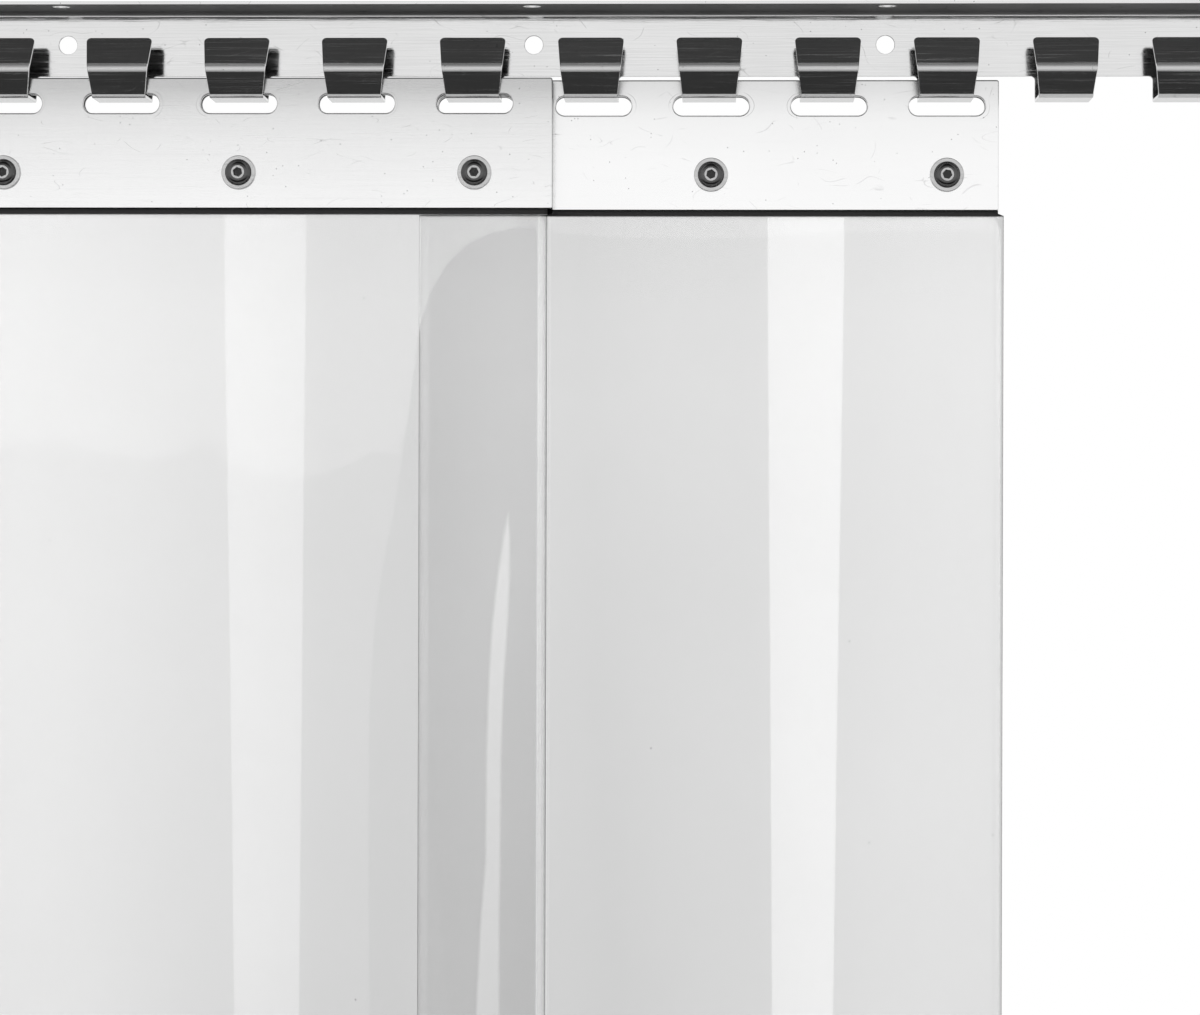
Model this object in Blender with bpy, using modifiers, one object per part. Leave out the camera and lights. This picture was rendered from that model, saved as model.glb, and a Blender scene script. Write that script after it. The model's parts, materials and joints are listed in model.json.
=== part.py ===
# Strip curtain on a hook rail. Clear PVC strips hang side by side, each pinched between two slotted
# steel plates that drop over a row of hooks folded out of the rail's own sheet.
#
# Metres. X runs along the rail, -Y is the side the hooks open to, +Z is up. The origin is on the back
# face of the rail's web, at mid length, on the line of the fixing holes.

import math

import bmesh
import bpy
from mathutils import Matrix, Vector

# Rail: one folded sheet with a flange at the top and hooks along the bottom
SHEET = 0.0012  # thickness of the folded sheet
HOOK_PITCH = 0.041
WEB_HEIGHT = 0.0226  # lower edge of the web to the underside of the flange
FLANGE_DEPTH = 0.021  # front face of the web to the free edge of the flange
FLANGE_BEND = 0.0015  # inner radius
HOLE_HEIGHT = 0.0111  # fixing holes above the lower edge of the web
FLANGE_HOLE_SETBACK = 0.0068  # ceiling holes behind the free edge
FIXING_HOLE = 0.0064  # diameter
HOLE_GAPS = (3, 7, 10, 14, 17, 21)  # gaps between hooks that carry the holes, counted from the left

# Hook, in the flat blank a tapered tongue with rounded corners
HOOK_DROP = 0.0092  # lower edge of the web to the underside of the trough
TROUGH_BEND = 0.0012  # inner radius at both ends of the trough
CROWN_BEND = 0.0024  # inner radius where the front leg turns back
CROWN_FLARE = 0.0038  # the front leg leans out this far
CROWN_HEIGHT = 0.0009  # above the lower edge of the web
TIP_SETBACK = 0.0021  # the tip lies this far behind the foot of the front leg
TIP_HEIGHT = 0.0116
FOOT_WIDTH = 0.0187
CROWN_WIDTH = 0.0212
TIP_WIDTH = 0.0227
TIP_CORNER = 0.0016
ROOT_FILLET = 0.0015

# Clamping plates
PLATE = 0.0015  # thickness
PLATE_HEIGHT = 0.0455  # front plates
BACK_LIP = 0.0016  # the back plates and the pinched strip reach lower than the front plates
BAR_HEIGHT = 0.0057  # material above the slots
PLATE_CORNER = 0.0008
SLOT_WIDTH = 0.0265
SLOT_HEIGHT = 0.0066
SCREW_HEIGHT = 0.0125  # screws above the lower edge of the plates
EDGE_MARGIN = 0.004  # least steel beside the outer slots
SCREW_SLOT_COUNT = 2  # one screw for so many slots

# Strips
STRIP = 0.002  # thickness
WIDE_TRIM = 0.0034  # a wide strip is narrower than its plates
NARROW_EXCESS = 0.0039  # the narrow strip is wider than its plates
DROP = 2.0  # cut length, from the top edge of the plates
FLEX_STEP = 0.0003  # between the pinched head and the hanging length
EDGE_ROUND_SHARE = 0.96  # of half the thickness

# Collar screw and the flush threaded bush that it goes into
HEAD_HEIGHT = 0.00275
COLLAR_RADIUS = 0.0059
COLLAR_HEIGHT = 0.0009
DOME_RADIUS = 0.0044
RIM_RADIUS = 0.0024
SHANK_RADIUS = 0.0024
SOCKET_ACROSS = 0.003  # across the flats
SOCKET_DEPTH = 0.0016
BUSH_WALL = 0.0009

# Clearances
HANG_SHIFT = 0.0007  # the sets hang this far off the middles of their hooks
SEAT_GAP = 0.0003  # slot edge above the trough, screw head in front of the plate
PINCH_GAP = 0.00015  # strip to plate
LAYER_GAP = 0.0003  # screw heads of the rear row to the plates of the front row
BUSH_FIT = 0.00015
THREAD_PLAY = 0.0002
HOLE_PLAY = 0.0003
END_GAP = 0.0002  # bush to front plate, screw end to the back face
OVERRUN = 0.002  # cutters past the faces that they cut

# Facets
ARC_STEPS = 5  # half turn of a slot
FOLD_STEPS = 3
CORNER_STEPS = 3
EDGE_STEPS = 2
ROUND_SIDES = 16
DOME_STEPS = 2

# Sets of plates and strip from left to right, in a rear and a front row
WIDTH_WIDE = 0.300
WIDTH_NARROW = 0.200
SETS = {
    "left": {"width": WIDTH_WIDE, "strip": WIDTH_WIDE - WIDE_TRIM, "row": "rear"},
    "middle": {"width": WIDTH_WIDE, "strip": WIDTH_WIDE - WIDE_TRIM, "row": "front"},
    "right": {"width": WIDTH_NARROW, "strip": WIDTH_NARROW + NARROW_EXCESS, "row": "rear"},
}
SHARED_COUNT = 1  # hooks that two neighbouring sets share
SPARE_LEFT_COUNT = 1  # empty hooks at the left end
SPARE_RIGHT_COUNT = 6

# Each set has as many slots as its width takes, and starts on the last hook of the one before
next_hook = SPARE_LEFT_COUNT + 1
for each in SETS.values():
    each["slots"] = 1 + int((each["width"] - SLOT_WIDTH - 2 * EDGE_MARGIN) / HOOK_PITCH)
    each["first"] = next_hook
    next_hook += each["slots"] - SHARED_COUNT
HOOK_COUNT = next_hook + SHARED_COUNT - 1 + SPARE_RIGHT_COUNT

# Places worked out from the sizes above
BUSH_BORE = SHANK_RADIUS + THREAD_PLAY
BUSH_RADIUS = BUSH_BORE + BUSH_WALL
FLANGE_HOLE_DEPTH = FLANGE_DEPTH - FLANGE_HOLE_SETBACK
SET_THICKNESS = 2 * PLATE + STRIP + 2 * PINCH_GAP
FOOT_PLAY = TROUGH_BEND + PINCH_GAP  # front plates to the fold line of the front leg
REAR_ROW = TROUGH_BEND + PINCH_GAP  # front face of the web to the back of the rear plates
FRONT_ROW = REAR_ROW + SET_THICKNESS + SEAT_GAP + HEAD_HEIGHT + LAYER_GAP
TROUGH_TOP = -HOOK_DROP + SHEET  # heights are counted from the lower edge of the web
SLOT_TOP = TROUGH_TOP + SEAT_GAP
PLATE_TOP = SLOT_TOP + BAR_HEIGHT
PLATE_FOOT = PLATE_TOP - PLATE_HEIGHT
BACK_FOOT = PLATE_FOOT - BACK_LIP
SCREW_LEVEL = PLATE_FOOT + SCREW_HEIGHT
ROWS = {"rear": REAR_ROW, "front": FRONT_ROW}

COLLECTION = "strip_curtain"
CUTTERS = "cutters"
BLANK_WELD = 0.00001


def clear_scene():
    for item in list(bpy.data.objects):
        bpy.data.objects.remove(item, do_unlink=True)
    for item in list(bpy.data.collections):
        bpy.data.collections.remove(item)


def new_collection(name):
    made = bpy.data.collections.new(name)
    bpy.context.scene.collection.children.link(made)
    return made


def material(name, color, roughness, metallic, transmission=0.0):
    made = bpy.data.materials.new(name)
    made.use_nodes = True
    shader = made.node_tree.nodes["Principled BSDF"]
    shader.inputs["Base Color"].default_value = (*color, 1.0)
    shader.inputs["Roughness"].default_value = roughness
    shader.inputs["Metallic"].default_value = metallic
    shader.inputs["Transmission Weight"].default_value = transmission
    made.diffuse_color = (*color, 1.0)
    return made


def forward(depth):
    """Y of a point that lies depth in front of the front face of the web."""
    return -(SHEET + depth)


def level(height):
    """Z of a point that lies height above the lower edge of the web."""
    return height - HOLE_HEIGHT


def hook_place(number):
    """X of a hook's middle, counted from 1 at the left end."""
    return (number - (HOOK_COUNT + 1) / 2) * HOOK_PITCH


def arc(centre, radius, start, sweep, steps):
    """Points on an arc, both ends among them."""
    return [
        (
            centre[0] + radius * math.cos(start + sweep * step / steps),
            centre[1] + radius * math.sin(start + sweep * step / steps),
        )
        for step in range(steps + 1)
    ]


def circle(centre, radius, sides=ROUND_SIDES):
    return arc(centre, radius, 0.0, math.tau, sides)[:-1]


def rounded_slot(centre, width, height):
    """A slot with full-radius ends."""
    radius = height / 2
    reach = width / 2 - radius
    right = arc((centre[0] + reach, centre[1]), radius, -math.pi / 2, math.pi, ARC_STEPS)
    left = arc((centre[0] - reach, centre[1]), radius, math.pi / 2, math.pi, ARC_STEPS)
    return right + left


def rounded_rectangle(left, right, low, high, radius):
    corners = (
        ((right - radius, low + radius), -math.pi / 2),
        ((right - radius, high - radius), 0.0),
        ((left + radius, high - radius), math.pi / 2),
        ((left + radius, low + radius), math.pi),
    )
    points = []
    for centre, start in corners:
        points += arc(centre, radius, start, math.pi / 2, CORNER_STEPS)
    return points


def flat_solid(name, outlines, thickness, matrix, home):
    """A flat plate of the given thickness, cut to closed outlines, holes among them."""
    curve = bpy.data.curves.new(name, "CURVE")
    curve.dimensions = "2D"
    curve.fill_mode = "BOTH"
    curve.extrude = thickness / 2
    for outline in outlines:
        spline = curve.splines.new("POLY")
        spline.points.add(len(outline) - 1)
        for point, (x, y) in zip(spline.points, outline):
            point.co = (x, y, 0.0, 1.0)
        spline.use_cyclic_u = True
    drawn = bpy.data.objects.new(name + "_outline", curve)
    drawn.matrix_world = matrix
    home.objects.link(drawn)
    bpy.context.view_layer.update()
    evaluated = drawn.evaluated_get(bpy.context.evaluated_depsgraph_get())
    mesh = bpy.data.meshes.new_from_object(evaluated)
    bpy.data.objects.remove(drawn, do_unlink=True)
    cloud = bmesh.new()
    cloud.from_mesh(mesh)
    bmesh.ops.remove_doubles(cloud, verts=cloud.verts, dist=BLANK_WELD)
    bmesh.ops.recalc_face_normals(cloud, faces=cloud.faces)
    cloud.to_mesh(mesh)
    cloud.free()
    made = bpy.data.objects.new(name, mesh)
    made.matrix_world = matrix
    home.objects.link(made)
    return made


def upright(depth, height=0.0, along=0.0):
    """Stands a flat outline up in the X-Z plane, its middle at the given depth, facing forward."""
    place = Matrix.Translation((along, forward(depth), level(height)))
    return place @ Matrix.Rotation(math.pi / 2, 4, "X")


def apply_matrix(made):
    made.data.transform(made.matrix_world)
    made.matrix_world = Matrix.Identity(4)


def applied(made):
    """Turns an object's modifiers into its mesh."""
    bpy.context.view_layer.update()
    evaluated = made.evaluated_get(bpy.context.evaluated_depsgraph_get())
    mesh = bpy.data.meshes.new_from_object(evaluated)
    made.modifiers.clear()
    made.data = mesh
    return made


def cut(made, cutter):
    """Subtracts the cutter, which stays behind as a guide."""
    cutter.hide_render = True
    cutter.display_type = "WIRE"
    boolean = made.modifiers.new("cut", "BOOLEAN")
    boolean.operation = "DIFFERENCE"
    boolean.solver = "EXACT"
    boolean.object = cutter
    return applied(made)


def smooth(made, angle=math.radians(40)):
    made.data.shade_smooth()
    made.data.set_sharp_from_angle(angle=angle)


def set_front(row):
    """Depth of the front face of a set of plates."""
    return ROWS[row] + SET_THICKNESS


def folded_path():
    """Middle line of the folded sheet as (y, z) points, from the flange's free edge to the hook's tip.

    Each fold is a short run of chords between its two tangent points."""
    middle = SHEET / 2
    foot = set_front("front") + FOOT_PLAY
    corners = (
        (forward(FLANGE_DEPTH), level(WEB_HEIGHT) + middle, 0.0),
        (-middle, level(WEB_HEIGHT) + middle, FLANGE_BEND),
        (-middle, level(TROUGH_TOP) - middle, TROUGH_BEND),
        (forward(foot), level(TROUGH_TOP) - middle, TROUGH_BEND),
        (forward(foot + CROWN_FLARE), level(CROWN_HEIGHT), CROWN_BEND),
        (forward(foot - TIP_SETBACK), level(TIP_HEIGHT), 0.0),
    )
    path = [Vector(corners[0][:2])]
    for before, here, after in zip(corners, corners[1:], corners[2:]):
        corner = Vector(here[:2])
        back = (Vector(before[:2]) - corner).normalized()
        ahead = (Vector(after[:2]) - corner).normalized()
        radius = here[2] + middle
        turn = math.pi - back.angle(ahead)
        start = corner + back * radius * math.tan(turn / 2)
        centre = corner + (back + ahead).normalized() * radius / math.cos(turn / 2)
        spoke = start - centre
        side = 1.0 if back.cross(ahead) < 0.0 else -1.0
        for step in range(FOLD_STEPS + 1):
            turned = Matrix.Rotation(side * turn * step / FOLD_STEPS, 2) @ spoke
            path.append(centre + turned)
    path.append(Vector(corners[-1][:2]))
    return path


def along_path(path):
    """Distance of each path point from the flange's free edge."""
    run = [0.0]
    for a, b in zip(path, path[1:]):
        run.append(run[-1] + (b - a).length)
    return run


def blank_outline(path, run):
    """The rail cut flat: a strip of sheet with one tapered tongue for each hook.

    Across is X, and down the blank is the distance from the flange's free edge."""
    half_length = HOOK_COUNT * HOOK_PITCH / 2
    web_tangent = 1 + FOLD_STEPS  # path point where the flange's fold ends
    web_edge = run[web_tangent] + path[web_tangent][1] - level(0.0)
    foot_start = run[web_tangent + 2 * (FOLD_STEPS + 1)]
    crown_start = run[web_tangent + 3 * (FOLD_STEPS + 1)]
    tip = run[-1]
    points = [(-half_length, 0.0), (-half_length, web_edge)]
    for number in range(1, HOOK_COUNT + 1):
        middle = hook_place(number)
        foot = FOOT_WIDTH / 2
        crown = CROWN_WIDTH / 2
        end = TIP_WIDTH / 2
        left_root = (middle - foot - ROOT_FILLET, web_edge + ROOT_FILLET)
        right_root = (middle + foot + ROOT_FILLET, web_edge + ROOT_FILLET)
        points += arc(left_root, ROOT_FILLET, -math.pi / 2, math.pi / 2, CORNER_STEPS)
        points += [(middle - foot, foot_start), (middle - crown, crown_start)]
        points += arc(
            (middle - end + TIP_CORNER, tip - TIP_CORNER), TIP_CORNER, math.pi, -math.pi / 2, CORNER_STEPS
        )
        points += arc(
            (middle + end - TIP_CORNER, tip - TIP_CORNER), TIP_CORNER, math.pi / 2, -math.pi / 2, CORNER_STEPS
        )
        points += [(middle + crown, crown_start), (middle + foot, foot_start)]
        points += arc(right_root, ROOT_FILLET, math.pi, math.pi / 2, CORNER_STEPS)
    points += [(half_length, web_edge), (half_length, 0.0)]
    return points


def fold_normals(path):
    """For each stretch its normal, and for each path point the offset that joins two stretches."""
    straight = []
    for a, b in zip(path, path[1:]):
        ahead = (b - a).normalized()
        straight.append(Vector((-ahead[1], ahead[0])))
    joined = [straight[0]]
    for a, b in zip(straight, straight[1:]):
        both = (a + b).normalized()
        joined.append(both / both.dot(a))
    joined.append(straight[-1])
    return straight, joined


def fold_blank(blank, path, run):
    """Creases the flat blank along its fold lines and moves each point to its folded place."""
    straight, joined = fold_normals(path)
    sheet = bmesh.new()
    sheet.from_mesh(blank.data)
    bmesh.ops.dissolve_limit(
        sheet, angle_limit=math.radians(1), verts=sheet.verts, edges=sheet.edges, delimit={"NORMAL"}
    )
    for place in run[1:-1]:
        everything = sheet.verts[:] + sheet.edges[:] + sheet.faces[:]
        bmesh.ops.bisect_plane(
            sheet, geom=everything, dist=BLANK_WELD / 2, plane_co=(0, place, 0), plane_no=(0, 1, 0)
        )
    for vert in sheet.verts:
        x, distance, offset = vert.co
        distance = min(max(distance, 0.0), run[-1])
        last = len(run) - 2
        stretch = min(last, max(i for i, place in enumerate(run) if place <= distance + BLANK_WELD))
        share = (distance - run[stretch]) / (run[stretch + 1] - run[stretch])
        point = path[stretch].lerp(path[stretch + 1], share)
        nearest = min(range(len(run)), key=lambda i: abs(run[i] - distance))
        on_crease = abs(run[nearest] - distance) < 2 * BLANK_WELD
        normal = joined[nearest] if on_crease else straight[stretch]
        folded = (path[nearest] if on_crease else point) + normal * offset
        vert.co = (x, folded[0], folded[1])
    bmesh.ops.recalc_face_normals(sheet, faces=sheet.faces)
    sheet.to_mesh(blank.data)
    sheet.free()


def hole_cutters(home):
    """Cylinders for the holes in the web and in the flange, all in one cutter."""
    bank = bmesh.new()
    for gap in HOLE_GAPS:
        x = (hook_place(gap) + hook_place(gap + 1)) / 2
        through_web = Matrix.Translation((x, -SHEET / 2, 0)) @ Matrix.Rotation(math.pi / 2, 4, "X")
        flange_z = level(WEB_HEIGHT) + SHEET / 2
        through_flange = Matrix.Translation((x, forward(FLANGE_HOLE_DEPTH), flange_z))
        for place in (through_web, through_flange):
            bmesh.ops.create_cone(
                bank,
                cap_ends=True,
                segments=ROUND_SIDES,
                radius1=FIXING_HOLE / 2,
                radius2=FIXING_HOLE / 2,
                depth=SHEET + 2 * OVERRUN,
                matrix=place,
            )
    mesh = bpy.data.meshes.new("fixing_holes")
    bank.to_mesh(mesh)
    bank.free()
    cutter = bpy.data.objects.new("fixing_holes", mesh)
    home.objects.link(cutter)
    return cutter


def make_rail(home, cutters, finish):
    """Flange, web and all hooks are one sheet, cut flat and then folded."""
    path = folded_path()
    run = along_path(path)
    rail = flat_solid("hook_rail", [blank_outline(path, run)], SHEET, Matrix.Identity(4), home)
    fold_blank(rail, path, run)
    cut(rail, hole_cutters(cutters))
    smooth(rail)
    rail.data.materials.clear()
    rail.data.materials.append(finish)
    return rail


def slot_places(spec):
    """X of each slot of a set."""
    return [hook_place(spec["first"] + i) + HANG_SHIFT for i in range(spec["slots"])]


def screw_places(spec):
    """X of each screw: under one slot in every few, and always under the last."""
    places = slot_places(spec)
    chosen = places[::SCREW_SLOT_COUNT]
    if chosen[-1] != places[-1]:
        chosen.append(places[-1])
    return chosen


def slotted_outline(spec, width, foot, hole_radius):
    """Outline of a plate or a pinched strip head: slots at the hooks and screw holes below them.

    Heights are counted from the lower edge of the web."""
    places = slot_places(spec)
    middle = (places[0] + places[-1]) / 2
    half = width / 2
    slot_level = SLOT_TOP - SLOT_HEIGHT / 2
    outlines = [rounded_rectangle(middle - half, middle + half, foot, PLATE_TOP, PLATE_CORNER)]
    outlines += [rounded_slot((x, slot_level), SLOT_WIDTH, SLOT_HEIGHT) for x in places]
    outlines += [circle((x, SCREW_LEVEL), hole_radius) for x in screw_places(spec)]
    return outlines


def make_screw_mesh(cutters):
    """A collar screw turned about Z, its seat at z = 0, with a hexagon socket."""
    dome_rise = HEAD_HEIGHT - COLLAR_HEIGHT
    profile = [(0.0, HEAD_HEIGHT)]
    for step in range(DOME_STEPS + 1):
        turn = math.pi / 2 * step / DOME_STEPS
        radius = RIM_RADIUS + (DOME_RADIUS - RIM_RADIUS) * math.sin(turn)
        profile.append((radius, COLLAR_HEIGHT + dome_rise * math.cos(turn)))
    shank = SET_THICKNESS - END_GAP + SEAT_GAP
    profile += [(COLLAR_RADIUS, COLLAR_HEIGHT), (COLLAR_RADIUS, 0.0)]
    profile += [(SHANK_RADIUS, 0.0), (SHANK_RADIUS, -shank), (0.0, -shank)]
    line = bmesh.new()
    verts = [line.verts.new((x, 0.0, z)) for x, z in profile]
    for a, b in zip(verts, verts[1:]):
        line.edges.new((a, b))
    mesh = bpy.data.meshes.new("screw_profile")
    line.to_mesh(mesh)
    line.free()
    turned = bpy.data.objects.new("screw_blank", mesh)
    cutters.objects.link(turned)
    turn = turned.modifiers.new("turn", "SCREW")
    turn.axis = "Z"
    turn.steps = ROUND_SIDES
    turn.render_steps = ROUND_SIDES
    turn.use_merge_vertices = True
    turn.merge_threshold = BLANK_WELD
    applied(turned)
    bank = bmesh.new()
    corner = SOCKET_ACROSS / 2 / math.cos(math.pi / 6)
    depth = SOCKET_DEPTH + OVERRUN
    bmesh.ops.create_cone(
        bank,
        cap_ends=True,
        segments=6,
        radius1=corner,
        radius2=corner,
        depth=depth,
        matrix=Matrix.Translation((0, 0, HEAD_HEIGHT - SOCKET_DEPTH + depth / 2)),
    )
    socket = bpy.data.meshes.new("hex_socket")
    bank.to_mesh(socket)
    bank.free()
    key = bpy.data.objects.new("hex_socket", socket)
    cutters.objects.link(key)
    cut(turned, key)
    screw = turned.data
    bpy.data.objects.remove(turned, do_unlink=True)
    bpy.data.objects.remove(key, do_unlink=True)
    return screw


def copies_of(name, mesh, matrices, home, finish):
    """One object at each place, all sharing one mesh."""
    mesh.materials.clear()
    mesh.materials.append(finish)
    made = []
    for number, matrix in enumerate(matrices, start=1):
        copy = bpy.data.objects.new(f"{name}_{number}", mesh)
        copy.matrix_world = matrix
        home.objects.link(copy)
        smooth(copy)
        made.append(copy)
    return made


def make_hanging_strip(name, spec, depth, home, finish):
    """The free length of a strip: a slab with fully rounded edges, hung from its top edge."""
    places = slot_places(spec)
    top = BACK_FOOT - FLEX_STEP
    low = PLATE_TOP - DROP
    slab = bmesh.new()
    bmesh.ops.create_cube(slab, size=1.0)
    bmesh.ops.scale(slab, vec=(spec["strip"], STRIP, top - low), verts=slab.verts)
    mesh = bpy.data.meshes.new(name)
    slab.to_mesh(mesh)
    slab.free()
    mesh.transform(Matrix.Translation((0, 0, (low - top) / 2 + STRIP / 2)))
    made = bpy.data.objects.new(name, mesh)
    made.location = ((places[0] + places[-1]) / 2, forward(depth), level(top - STRIP / 2))
    home.objects.link(made)
    rounding = made.modifiers.new("rounding", "BEVEL")
    rounding.width = STRIP / 2 * EDGE_ROUND_SHARE
    rounding.segments = EDGE_STEPS
    made.data.materials.append(finish)
    smooth(made)
    return made


def make_pivot(name, spec, home):
    """An empty on the line that the set swings about: the corner of the bar that stays on the trough."""
    corner = set_front("rear") if spec["row"] == "rear" else FRONT_ROW
    pivot = bpy.data.objects.new(name, None)
    places = slot_places(spec)
    pivot.location = ((places[0] + places[-1]) / 2, forward(corner), level(SLOT_TOP))
    home.objects.link(pivot)
    return pivot


def make_set(side, spec, screw, home, finishes):
    """Front and back plate, pinched head, hanging strip, screws and bushes of one strip."""
    back = ROWS[spec["row"]]
    plate_back = back + PLATE / 2
    strip_middle = back + PLATE + PINCH_GAP + STRIP / 2
    front_face = back + SET_THICKNESS
    plate_front = front_face - PLATE / 2
    bush_length = PLATE + 2 * PINCH_GAP + STRIP - END_GAP
    layers = (
        ("back_plate", plate_back, PLATE, spec["width"], BACK_FOOT, BUSH_RADIUS + BUSH_FIT, "steel"),
        ("strip_head", strip_middle, STRIP, spec["strip"], BACK_FOOT, BUSH_RADIUS + HOLE_PLAY, "pvc"),
        ("front_plate", plate_front, PLATE, spec["width"], PLATE_FOOT, SHANK_RADIUS + HOLE_PLAY, "steel"),
    )
    made = []
    for part, depth, thickness, width, foot, hole, finish in layers:
        outline = slotted_outline(spec, width, foot, hole)
        layer = flat_solid(f"{side}_{part}", outline, thickness, upright(depth), home)
        apply_matrix(layer)
        layer.data.materials.clear()
        layer.data.materials.append(finishes[finish])
        smooth(layer)
        made.append(layer)
    seats = [upright(front_face + SEAT_GAP, SCREW_LEVEL, x) for x in screw_places(spec)]
    made += copies_of(f"{side}_screw", screw, seats, home, finishes["screw"])
    rings = [circle((0.0, 0.0), BUSH_RADIUS), circle((0.0, 0.0), BUSH_BORE)]
    ring = flat_solid(f"{side}_bush", rings, bush_length, Matrix.Identity(4), home)
    bushes = [upright(back + bush_length / 2, SCREW_LEVEL, x) for x in screw_places(spec)]
    made += copies_of(f"{side}_bush", ring.data, bushes, home, finishes["bush"])
    bpy.data.objects.remove(ring, do_unlink=True)
    made.append(make_hanging_strip(f"{side}_strip", spec, strip_middle, home, finishes["pvc"]))
    pivot = make_pivot(f"{side}_swing_axis", spec, home)
    bpy.context.view_layer.update()
    for item in made:
        item.parent = pivot
        item.matrix_parent_inverse = pivot.matrix_world.inverted()


def main():
    clear_scene()
    home = new_collection(COLLECTION)
    cutters = new_collection(CUTTERS)
    finishes = {
        "steel": material("stainless_steel", (0.72, 0.72, 0.71), 0.28, 1.0),
        "pvc": material("clear_pvc", (0.90, 0.92, 0.92), 0.08, 0.0, 0.9),
        "screw": material("screw_steel", (0.42, 0.42, 0.43), 0.25, 1.0),
        "bush": material("bush_steel", (0.60, 0.60, 0.60), 0.35, 1.0),
    }
    make_rail(home, cutters, finishes["steel"])
    screw = make_screw_mesh(cutters)
    for side, spec in SETS.items():
        make_set(side, spec, screw, home, finishes)


main()
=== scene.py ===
import json
import math

import bmesh
import bpy
from mathutils import Matrix, Vector, noise

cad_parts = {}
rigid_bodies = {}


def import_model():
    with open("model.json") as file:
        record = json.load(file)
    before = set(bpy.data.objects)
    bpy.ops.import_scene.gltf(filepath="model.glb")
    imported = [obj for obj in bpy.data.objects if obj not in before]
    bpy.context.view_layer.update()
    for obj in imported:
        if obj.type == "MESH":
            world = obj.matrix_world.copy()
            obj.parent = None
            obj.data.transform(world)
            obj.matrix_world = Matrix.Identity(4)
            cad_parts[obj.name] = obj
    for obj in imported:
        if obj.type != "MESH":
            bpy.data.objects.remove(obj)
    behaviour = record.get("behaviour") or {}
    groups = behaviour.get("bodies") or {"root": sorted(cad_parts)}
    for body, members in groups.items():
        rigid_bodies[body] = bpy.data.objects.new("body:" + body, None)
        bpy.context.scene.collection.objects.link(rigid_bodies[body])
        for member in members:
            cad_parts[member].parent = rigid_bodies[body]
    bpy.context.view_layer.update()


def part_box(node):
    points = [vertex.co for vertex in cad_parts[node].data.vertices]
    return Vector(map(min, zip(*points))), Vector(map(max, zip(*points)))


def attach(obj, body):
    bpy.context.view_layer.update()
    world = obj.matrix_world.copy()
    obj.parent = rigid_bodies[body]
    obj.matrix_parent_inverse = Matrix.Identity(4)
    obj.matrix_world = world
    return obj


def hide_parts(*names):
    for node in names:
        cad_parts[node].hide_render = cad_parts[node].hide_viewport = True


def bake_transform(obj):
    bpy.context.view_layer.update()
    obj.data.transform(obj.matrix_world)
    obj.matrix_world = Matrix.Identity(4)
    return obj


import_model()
print("frame loaded")


def addObject(name, data):
    made = bpy.data.objects.new(name, data)
    bpy.context.scene.collection.objects.link(made)
    return made


cameraSettings = {
    "place": (0.14385, -1.32116, -0.16208),
    "turn": (90.0, -0.157, 1.658),  # degrees
    "lens": 113.06,
    "clip": (0.01, 50),
}


def makeCamera(s):
    lens = bpy.data.cameras.new("camera")
    lens.lens = s["lens"]
    lens.clip_start, lens.clip_end = s["clip"]
    camera = addObject("camera", lens)
    camera.location = s["place"]
    camera.rotation_euler = [math.radians(angle) for angle in s["turn"]]
    bpy.context.scene.camera = camera


makeCamera(cameraSettings)
bpy.context.scene.view_settings.view_transform = "Standard"


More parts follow.
